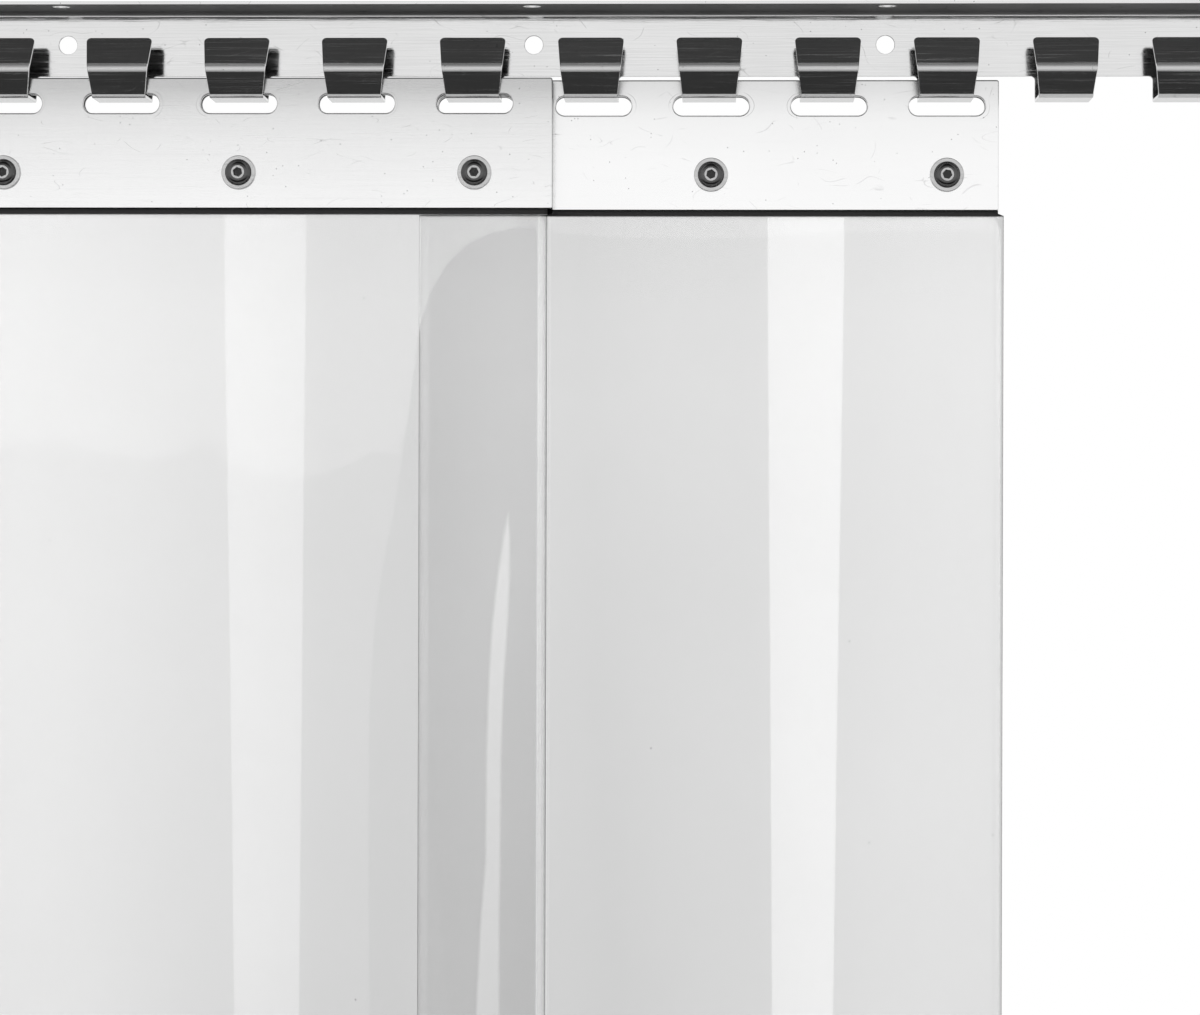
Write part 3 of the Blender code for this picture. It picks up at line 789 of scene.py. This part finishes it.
def makePlateTree(s):
    # a sheet outline with a row of long slots and a row of round holes, filled and thickened along +Z
    plate = Group("slottedPlate", "GeometryNodeTree")
    width, height, thick, corner, pitch = plate.takes("Float", "width", "height", "thick", "corner", "pitch")
    slotWidth, slotHeight, slotLevel = plate.takes("Float", "slotWidth", "slotHeight", "slotLevel")
    holeRadius, holeLevel = plate.takes("Float", "holeRadius", "holeLevel")
    slots, holes = plate.takes("Int", "slots", "holes")
    finish, = plate.takes("Material", "finish")

    def rectangle(width, height, steps, radius):
        outline = plate.add("CurvePrimitiveQuadrilateral", mode="RECTANGLE", Width=width, Height=height)
        return plate.add("FilletCurve", mode="POLY", Curve=outline, Count=steps, Radius=radius)

    def row(count, step, rowLevel, shape):
        span = plate.times(plate.times(plate.less(count, 1.0), step), -0.5)
        start = plate.add("ShaderNodeCombineXYZ", X=span, Y=rowLevel)
        return plate.copies(shape, count, start, plate.add("ShaderNodeCombineXYZ", X=step))

    outline = rectangle(width, height, s["cornerSteps"], corner)
    slot = rectangle(slotWidth, slotHeight, s["slotSteps"], plate.times(slotHeight, s["slotRound"]))
    hole = plate.add("CurvePrimitiveCircle", mode="RADIUS", Resolution=s["holeSteps"], Radius=holeRadius)
    slotRow = row(slots, pitch, slotLevel, slot)
    holeRow = row(holes, plate.times(pitch, 2.0), holeLevel, hole)
    joined = plate.add("JoinGeometry", Geometry=[outline, slotRow, holeRow])
    filled = plate.add("FillCurve", mode="TRIANGLES", Curve=joined)
    lifted = plate.add("ExtrudeMesh", mode="FACES", Mesh=filled, OffsetScale=thick, Individual=False)
    under = plate.add("FlipFaces", Mesh=filled)
    plate.givesWelded(plate.add("JoinGeometry", Geometry=[lifted, under]), railSizes["weld"], finish)
    return plate.tree


plateTree = makePlateTree(plateSizes)


def makePlate(side, layer, spec, s):
    low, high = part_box(f"{side}_{layer}_plate")
    screwLow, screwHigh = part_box(f"{side}_screw_1")
    height = high.z - low.z
    plate = grown(
        f"{side}{layer.capitalize()}Plate", plateTree, width=high.x - low.x, height=height, thick=s["thick"],
        corner=s["corner"], pitch=railSizes["pitch"], slots=spec["slots"], slotWidth=s["slotWidth"],
        slotHeight=s["slotHeight"], slotLevel=height / 2 - s["bar"] - s["slotHeight"] / 2, holes=spec["screws"],
        holeRadius=s["holes"][layer], holeLevel=(screwLow.z + screwHigh.z - low.z - high.z) / 2,
        finish=steel[spec["steel"]]
    )
    stand = Matrix.Translation(((low.x + high.x) / 2, high.y, (low.z + high.z) / 2)) @ upright
    solid = opened(plate)
    bmesh.ops.dissolve_limit(
        solid, angle_limit=math.radians(s["level"]), verts=solid.verts, edges=solid.edges, delimit={"NORMAL"}
    )
    bmesh.ops.transform(solid, matrix=stand, verts=solid.verts)
    facedOut(solid)
    # the punched side that shows has the rounder edge
    shown = low.y if layer == "front" else high.y
    outer = [e for e in solid.edges if all(abs(v.co.y - shown) < s["edge"] for v in e.verts)]
    bmesh.ops.bevel(
        solid, geom=[e for e in outer if e.calc_face_angle(0.0) > s["sharp"]], offset=s["shownEdge"],
        offset_type="OFFSET", segments=s["shownSteps"], profile=0.5, affect="EDGES", clamp_overlap=False
    )
    solid.to_mesh(plate.data)
    solid.free()
    chamfered(plate, s["edge"])
    crisp(plate, s["smooth"])

    def sheltered(centre, normal):
        # painted shadow: dark on the clamp's lower edges, and where the back plate shows past the strip
        if normal.z < -s["underTilt"] and centre.z < low.z + s["patinaHeight"]:
            return s["patina"]
        return s["patina"] if layer == "back" and normal.y < -s["frontTilt"] else 0.0

    shaded(plate, sheltered)
    dressed(plate, steel[spec["steel"]])
    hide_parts(f"{side}_{layer}_plate")
    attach(plate, f"{side}_clamp")
    return plate


for side, spec in sets.items():
    for layer in ("back", "front"):
        plate = makePlate(side, layer, spec, plateSizes)
        print("plate made:", side, layer, len(plate.data.polygons), "faces")

screwSizes = {
    "head": 0.00275, "dome": 0.0044, "domeSteps": 10,
    "collar": 0.0059, "collarHeight": 0.0009, "collarEdge": 0.00025, "collarSteps": 4,
    "groove": 0.0045, "grooveDepth": 0.00015, "lip": 0.0001,
    "rim": 0.0024, "rimEdge": 0.00012,
    "shank": 0.0024, "shankEnd": 0.0003,
    "across": 0.003, "socket": 0.0016, "keyReach": 0.002,
    "sides": 64, "smooth": 28, "turn": math.pi / 3,
    # painted shade on the screw's dome, socket, groove, rim and collar
    "domePatina": 0.85, "socketPatina": 0.94, "groovePatina": 0.75,
    "rimPatina": 0.3, "collarPatina": 0.22,
}
bushSizes = {"bore": 0.0026, "outer": 0.0035, "edge": 0.00015, "sides": 48, "smooth": 28}


def turned(name, profile, sides):
    # revolves (radius, height) points about Z
    line = bmesh.new()
    verts = [line.verts.new((r, 0.0, z)) for r, z in profile]
    for a, b in zip(verts, verts[1:]):
        line.edges.new((a, b))
    made = asObject(line, name)
    weld = railSizes["weld"]
    modified(
        made, "SCREW", axis="Z", steps=sides, render_steps=sides, use_merge_vertices=True, merge_threshold=weld
    )
    whole = opened(made)
    bmesh.ops.remove_doubles(whole, verts=whole.verts, dist=weld / 2)
    stored(whole, made)
    return made


def screwProfile(s, length):
    # from the middle of the dome's top, over the collar, to the shank's end
    quarter, rise, e = math.pi / 2, s["head"] - s["collarHeight"], s["collarEdge"]
    profile = [(0.0, s["head"]), (s["rim"] - s["rimEdge"], s["head"])]
    for i in range(s["domeSteps"] + 1):
        a = quarter * i / s["domeSteps"]
        out = s["rim"] + (s["dome"] - s["rim"]) * math.sin(a)
        profile.append((out, s["collarHeight"] + (rise - s["rimEdge"]) * math.cos(a)))
    profile += [(s[key], s["collarHeight"] - s["grooveDepth"]) for key in ("dome", "groove")]
    profile.append((s["groove"] + s["lip"], s["collarHeight"]))
    for i in range(s["collarSteps"] + 1):
        a = quarter * i / s["collarSteps"]
        profile.append((s["collar"] - e + e * math.sin(a), s["collarHeight"] - e + e * math.cos(a)))
    profile += [(s["collar"], s["lip"]), (s["collar"] - s["lip"], 0.0), (s["shank"], 0.0)]
    return profile + [(s["shank"], s["shankEnd"] - length), (s["shank"] - s["shankEnd"], -length), (0.0, -length)]


def makeScrew(s, length):
    screw = turned("screw", screwProfile(s, length), s["sides"])
    # hexagon socket
    corner, depth = s["across"] / 2 / math.cos(math.pi / 6), s["socket"] + s["keyReach"]
    cutBy(screw, cylinder(corner, depth, Matrix.Translation((0, 0, s["head"] - s["socket"] + depth / 2)), 6))
    crisp(screw, s["smooth"])

    def darkened(centre, normal):
        # painted shade: dark dome and socket, lighter rim and collar
        out, near, weld = math.hypot(centre.x, centre.y), s["lip"] / 2, railSizes["weld"]
        if centre.z > s["head"] - weld:
            return s["rimPatina"]
        if out < s["rim"] - s["rimEdge"] - s["lip"]:
            return s["socketPatina"]
        if out < s["dome"] + near:
            return s["domePatina"]
        return s["groovePatina"] if out < s["groove"] + s["lip"] + weld else s["collarPatina"]

    shaded(screw, darkened)
    screw.data.transform(upright)
    return screw


def makeBush(s, length):
    bore, outer, e = s["bore"], s["outer"], s["edge"]
    profile = [
        (bore + e, 0.0), (outer - e, 0.0), (outer, e), (outer, length - e), (outer - e, length), (bore + e, length),
        (bore, length - e), (bore, e), (bore + e, 0.0),
    ]
    bush = turned("bush", profile, s["sides"])
    crisp(bush, s["smooth"])
    bush.data.transform(upright)
    return bush


def makeFasteners():
    low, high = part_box("left_screw_1")
    screw = makeScrew(screwSizes, high.y - low.y - screwSizes["head"])
    low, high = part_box("left_bush_1")
    bush = makeBush(bushSizes, high.y - low.y)
    kinds = (("screw", "Screws", screw, screwSizes["turn"]), ("bush", "Bushes", bush, 0.0))
    for side, spec in sets.items():
        for kind, plural, piece, turn in kinds:
            low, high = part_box(f"{side}_{kind}_1")
            seat = low.y + screwSizes["head"] if kind == "screw" else high.y
            start = ((low.x + high.x) / 2, seat, (low.z + high.z) / 2)
            made = grown(
                f"{side}{plural}", rowTree, piece=piece, count=spec["screws"], start=start,
                step=(2 * railSizes["pitch"], 0.0, 0.0), turn=turn, seed=spec["screwSeed"], finish=steel[kind]
            )
            dressed(made, steel[kind])
            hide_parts(*[f"{side}_{kind}_{n + 1}" for n in range(spec["screws"])])
            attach(made, f"{side}_clamp")
    discard(screw, bush)


makeFasteners()
print("fasteners made")

stripSizes = {
    "cellX": 0.0075, "cellZ": 0.02, "edgeSteps": 5, "edgeBand": 0.003, "shoulder": 0.0008, "smooth": 40,
    "bushGap": 0.0003, "cutReach": 0.002, "slotSteps": 12, "holeSteps": 32,
    "turnEnd": 0.03, "turnStart": 0.001,  # the stretch below the plates that turns with the joint
    "bow": 0.18,  # curvature across the strip, in 1/m, once it hangs free
    "bowWidth": 0.08, "bowLevel": 0.5, "growStart": 0.03, "growLength": 0.28,
    "wave": 0.0016, "waveStart": 0.42, "waveGrow": 0.4, "drift": 1.6,
    "ripple": (6.0, 2.2, 0.7),  # turns per metre across and down, and share
    "lane": (5.0, 1.3),  # where each strip reads its ripple: step of a seed, and the noise's Y
    "ridges": {"left": -0.33, "middle": -0.004, "right": 0.175},
    "seeds": {"left": 3.7, "middle": 7.8, "right": 11.9},
}


def stripLoop(width, radius, s):
    # a loop round the strip's section, with half-round edges
    columns, flatPart, loop = round(width / s["cellX"]), width / 2 - radius, []
    inner = flatPart - s["edgeBand"]
    for sign in (-1, 1):
        for i in range(s["edgeSteps"] + 1):
            a = math.pi * i / s["edgeSteps"]
            loop.append((sign * (flatPart + radius * math.sin(a)), sign * radius * math.cos(a)))
        loop += [(sign * inner * (1 - 2 * i / columns), sign * -radius) for i in range(columns + 1)]
    return loop


def makeStrip(side, s):
    # sweeps the section down the strip's length; the pinched end is as wide as the plates
    headLow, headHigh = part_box(f"{side}_strip_head")
    plateLow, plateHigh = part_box(f"{side}_front_plate")
    low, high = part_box(f"{side}_strip")
    width, top, lip, foot = high.x - low.x, headHigh.z, headLow.z, low.z
    middleX, middleY = (low.x + high.x) / 2, (headLow.y + headHigh.y) / 2
    trim = min(1.0, (plateHigh.x - plateLow.x) / width)
    rows = round((lip - foot) / s["cellZ"])
    levels = [(top, trim), ((top + lip) / 2, trim), (lip + s["shoulder"], trim)]
    levels += [(lip, 1.0), (lip - s["shoulder"], 1.0)]
    levels += [(lip + (foot - lip) * r / rows, 1.0) for r in range(1, rows + 1)]
    loop = stripLoop(width, (headHigh.y - headLow.y) / 2, s)
    sheet = bmesh.new()
    rings = [[sheet.verts.new((middleX + x * share, middleY + y, z)) for x, y in loop] for z, share in levels]
    for a, b in zip(rings, rings[1:]):
        for i in range(len(loop)):
            j = (i + 1) % len(loop)
            sheet.faces.new((a[i], a[j], b[j], b[i]))
    sheet.faces.new(rings[0])
    sheet.faces.new(rings[-1])
    facedOut(sheet)
    facts = {"x": middleX, "y": middleY, "lip": lip, "width": width, "length": top - foot}
    return asObject(sheet, f"{side}Strip"), facts


def slotCutter(side, spec, s, strip):
    # the slots and bush holes in one cutter
    headLow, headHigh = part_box(f"{side}_strip_head")
    screwLow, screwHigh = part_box(f"{side}_screw_1")
    near, far = headLow.y - strip["cutReach"], headHigh.y + strip["cutReach"]
    middle, pitch, quarter = (headLow.x + headHigh.x) / 2, railSizes["pitch"], math.pi / 2
    radius = s["slotHeight"] / 2
    reach, height = s["slotWidth"] / 2 - radius, headHigh.z - s["bar"] - radius
    outlines = []
    for n in range(spec["slots"]):
        x = middle + (n - (spec["slots"] - 1) / 2) * pitch
        outline = arc((x + reach, height), radius, -quarter, math.pi, strip["slotSteps"])
        outlines.append(outline + arc((x - reach, height), radius, quarter, math.pi, strip["slotSteps"]))
    for n in range(spec["screws"]):
        x = middle + (n - (spec["screws"] - 1) / 2) * 2 * pitch
        centre, hole = (x, (screwLow.z + screwHigh.z) / 2), bushSizes["outer"] + strip["bushGap"]
        outlines.append(arc(centre, hole, 0.0, math.tau, strip["holeSteps"])[:-1])
    parts = bmesh.new()
    for outline in outlines:
        pushed(parts, parts.faces.new([parts.verts.new((x, near, z)) for x, z in outline]), (0, far - near, 0))
    facedOut(parts)
    return asObject(parts, "slots")


def settle(strip, facts, s, side):
    # below the plates the strip bows forward a little along its middle, and far down it waves slowly
    seed, (across, down, share), (stride, lane) = s["seeds"][side], s["ripple"], s["lane"]
    for vert in strip.data.vertices:
        depth = facts["lip"] - vert.co.z
        if depth <= 0.0:
            continue
        bow = s["bow"] * min(1.0, depth ** 2 / (depth + s["growStart"]) / s["growLength"]) * s["bowWidth"] ** 2
        vert.co.y += bow * (math.log(math.cosh((vert.co.x - s["ridges"][side]) / s["bowWidth"])) - s["bowLevel"])
        ease = min(1.0, max(0.0, depth - s["waveStart"]) / s["waveGrow"])
        ripple = noise.noise(Vector((vert.co.x * across + seed * stride, lane, vert.co.z * down)))
        drift = noise.noise(Vector((seed, 0.0, vert.co.z * s["drift"])))
        vert.co.y += ease * ease * s["wave"] * (share * ripple + drift)


for side, spec in sets.items():
    strip, facts = makeStrip(side, stripSizes)
    cutBy(strip, slotCutter(side, spec, plateSizes, stripSizes))
    settle(strip, facts, stripSizes, side)
    strip.data.shade_smooth()
    strip.data.set_sharp_from_angle(angle=math.radians(stripSizes["smooth"]))
    dressed(strip, pvc[side])
    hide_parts(f"{side}_strip_head", f"{side}_strip")
    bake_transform(strip)
    print("strip hung:", side, len(strip.data.polygons), "faces")

studio = {
    "floorLevel": -2.045, "floorSize": 14.0, "ambient": 0.75,
    "wallDepth": -2.25, "wallTop": 0.1125, "wallFoot": -0.72,
    "cardDepth": -2.2, "cardStep": 0.002, "aim": (0.0, 0.0, -0.3),
}
lamps = {  # place, size and power
    "keyLamp": ((-1.6, -2.6, 1.4), 1.6, 30),
    "fillLamp": ((2.2, 2.4, 1.0), 2.0, 15),
}
# what steel mirrors: greys from straight down to straight up, which fill a sector in front
surroundings = {
    "zones": (
        (0.0, 0.055), (0.115, 0.055), (0.19, 0.085), (0.265, 0.28), (0.345, 0.75), (0.42, 1.0), (0.58, 1.0),
        (0.655, 0.75), (0.735, 0.28), (0.81, 0.085), (0.885, 0.05), (0.96, 0.05), (1.0, 0.8),
    ),
    "sector": 1.2,
    "sectorEdge": (-0.15, 0.05),
    "elsewhere": 0.85,
}
floorLook = {
    "rough": 0.8, "shown": 0.86, "mirrored": 0.8, "patch": 0.02,
    "patchNear": (2.35, 2.6), "patchFar": (3.6, 5.5), "patchBack": (-1.3, -1.0),
}
# the diffusing wall behind the camera
wallGlow = {
    "along": (  # X, strength
        (-1.2, 1.8), (-0.52, 2.4), (-0.48, 2.2), (-0.42, 1.8), (-0.36, 1.4), (-0.33, 1.3), (-0.21, 0.58),
        (-0.12, 0.44), (-0.04, 0.85), (0.02, 0.6), (0.072, 0.9), (0.124, 1.15), (0.18, 1.3), (0.29, 1.95),
        (0.334, 2.15), (0.39, 2.3), (1.2, 1.8),
    ),
    "full": 4.0,  # strength that the ramp's white stands for
    "climb": (-0.75, -0.05),
    "climbGain": 1.2,
    "crest": (0.03, 0.115),
    "crestLoss": 0.45,
    "worldShare": 0.64,  # the world behind the wall already gives this much
}
archRise = (
    (-0.1307, -0.0748), (-0.1243, -0.0009), (-0.1189, 0.0267), (-0.1122, 0.0449), (-0.0992, 0.0665),
    (-0.0815, 0.0832), (-0.0589, 0.0939), (-0.0361, 0.098),
)
# cards in front of the wall add their light to it: strength and outline as X, Z
cards = {
    "leftBand": (1.45, ((-0.3075, -0.72), (-0.2313, -0.72), (-0.2313, 0.1125), (-0.3075, 0.1125))),
    "rightBand": (2.2, ((0.1975, -0.72), (0.269, -0.72), (0.269, 0.1125), (0.1975, 0.1125))),
    "archCard": (0.5, (
        (-1.2, -0.72), (-0.1499, -0.72), (-0.1499, -0.6227), (-0.1561, -0.4726), (-0.1596, -0.3335),
        (-0.1573, -0.2779), (-0.1544, -0.2409), (-0.1478, -0.1947), (-0.1394, -0.1486), *archRise,
        (-0.0131, 0.0975), (0.0032, 0.0942), (0.059, 0.0911), (0.1338, 0.0918), (0.1902, 0.0932),
        (0.2698, 0.0978), (0.3212, 0.0984), (1.0, 0.0976), (1.0, 0.1125), (-1.2, 0.1125),
    )),
    "upperCard": (0.5, (
        (-0.9, -0.1), (-0.532, -0.1058), (-0.5031, -0.1038), (-0.4739, -0.1), (-0.4451, -0.1066),
        (-0.4159, -0.1106), (-0.3863, -0.1129), (-0.3561, -0.1071), (-0.3307, -0.0924), (-0.3109, -0.1123),
        (-0.2754, -0.1229), (-0.2345, -0.1265), (-0.2142, -0.1229), (-0.189, -0.1158), (-0.1642, -0.1034),
        (-0.1392, -0.1069), *archRise, (-0.0361, 0.1125), (-0.9, 0.1125),
    )),
}


def makeWorld(s, ambient):
    # white to the eye and through the strips, an even light on matt things, and zones in mirrors
    world = bpy.data.worlds.new("studio")
    bpy.context.scene.world = world
    world.use_nodes = True
    world.node_tree.nodes.clear()
    tree = Tree(world.node_tree)
    rays = tree.rays()
    way = tree.split(tree.node("TexCoord").outputs["Generated"])
    zones = tree.ramp(tree.ranged(way["Z"], (-1.0, 1.0)), s["zones"])
    aside = tree.calc("MULTIPLY_ADD", tree.absolute(way["X"]), s["sector"], way["Y"])
    elsewhere = tree.ranged(aside, s["sectorEdge"])
    around = tree.mixed(elsewhere, zones, flat(s["elsewhere"]))
    seen = tree.calc("MAXIMUM", rays["Is Camera Ray"], rays["Is Transmission Ray"])
    plain = tree.add("Background", Color=flat(1.0), Strength=ambient)
    mirrored = tree.add("Background", Color=around, Strength=1.0)
    white = tree.add("Background", Color=flat(1.0), Strength=1.0)
    lit = tree.add("MixShader", in0=rays["Is Glossy Ray"], in1=plain, in2=mirrored)
    whole = tree.add("MixShader", in0=seen, in1=lit, in2=white)
    tree.feed(tree.node("OutputWorld"), "Surface", whole)


def inMirror(tree):
    # 1 for a ray that something has reflected; one that was only let through doesn't count
    return tree.calc("GREATER_THAN", tree.rays()["Glossy Depth"], 0.5)


def finishGlow(glow, tree, strength):
    # adds light to what is seen through it, but only in a reflection
    shine = tree.add("Emission", Color=flat(1.0), Strength=tree.times(inMirror(tree), strength))
    clear = tree.add("BsdfTransparent", Color=flat(1.0))
    both = tree.add("AddShader", in0=shine, in1=clear)
    glow.cycles.emission_sampling = "NONE"
    tree.feed(tree.node("OutputMaterial"), "Surface", both)
    return glow


def makeWallGlow(s):
    glow, tree = newMaterial("diffusingWall", bare=True)
    split = tree.split(tree.place())
    low, high = s["along"][0][0], s["along"][-1][0]
    stops = [((x - low) / (high - low), value / s["full"]) for x, value in s["along"]]
    strength = tree.ramp(tree.ranged(split["X"], (low, high)), stops)
    climb = tree.ranged(split["Z"], s["climb"], (0.0, s["climbGain"]))
    strength = tree.calc("MULTIPLY_ADD", strength, s["full"], climb)
    loss = tree.ranged(split["Z"], s["crest"], (s["worldShare"], s["worldShare"] + s["crestLoss"]))
    strength = tree.calc("MAXIMUM", tree.less(strength, loss), 0.0)
    return finishGlow(glow, tree, strength)


def makeFloorFinish(s):
    # pale to the eye, and dark where the hooks mirror a patch of the ground in front
    finish, tree = newMaterial("paleFloor")
    shader = tree.shader()
    shader.inputs["Roughness"].default_value = s["rough"]
    place = tree.place()
    out = tree.node("VectorMath", operation="LENGTH", in0=place).outputs["Value"]
    near = tree.ranged(out, s["patchNear"], (s["mirrored"], 0.0))
    far = tree.ranged(out, s["patchFar"], (s["patch"], s["mirrored"]))
    back = tree.ranged(tree.split(place)["Y"], s["patchBack"], (0.0, s["mirrored"]))
    dim = tree.calc("MAXIMUM", tree.calc("MAXIMUM", near, far), back)
    tree.feed(shader, "Base Color", tree.mixed(inMirror(tree), flat(s["shown"]), tree.grey(dim)))
    return finish


def makePanel(name, corners, finish):
    sheet = bmesh.new()
    sheet.faces.new([sheet.verts.new(c) for c in corners])
    panel = asObject(sheet, name)
    dressed(panel, finish)
    return panel


def makeStudio(s):
    makeWorld(surroundings, s["ambient"])
    half, ground = s["floorSize"] / 2, s["floorLevel"]
    corners = [(-half, -half, ground), (half, -half, ground), (half, half, ground), (-half, half, ground)]
    makePanel("floor", corners, makeFloorFinish(floorLook))
    left, right = wallGlow["along"][0][0], wallGlow["along"][-1][0]
    top, foot, depth = s["wallTop"], s["wallFoot"], s["wallDepth"]
    corners = [(left, depth, foot), (right, depth, foot), (right, depth, top), (left, depth, top)]
    panels = [makePanel("diffusingWall", corners, makeWallGlow(wallGlow))]
    for number, (name, (strength, outline)) in enumerate(cards.items()):
        depth = s["cardDepth"] - s["cardStep"] * number
        finish = finishGlow(*newMaterial(name, bare=True), strength)
        panels.append(makePanel(name, [(x, depth, z) for x, z in outline], finish))
    # the panels show only as reflections in the strips
    glossyStrips = bpy.data.collections.new("glossyStrips")
    for side in sets:
        glossyStrips.objects.link(bpy.data.objects[f"{side}Strip"])
    for panel in panels:
        panel.visible_camera = panel.visible_diffuse = panel.visible_shadow = False
        panel.light_linking.receiver_collection = glossyStrips


def makeLamp(name, place, size, energy, aim):
    light = bpy.data.lights.new(name, "AREA")
    light.shape = "SQUARE"
    light.size = size
    light.energy = energy
    lamp = addObject(name, light)
    lamp.location = place
    lamp.rotation_euler = (Vector(aim) - Vector(place)).to_track_quat("-Z", "Y").to_euler()
    lamp.visible_glossy = False


makeStudio(studio)
for name, (place, size, energy) in lamps.items():
    makeLamp(name, place, size, energy, studio["aim"])
print("studio set")
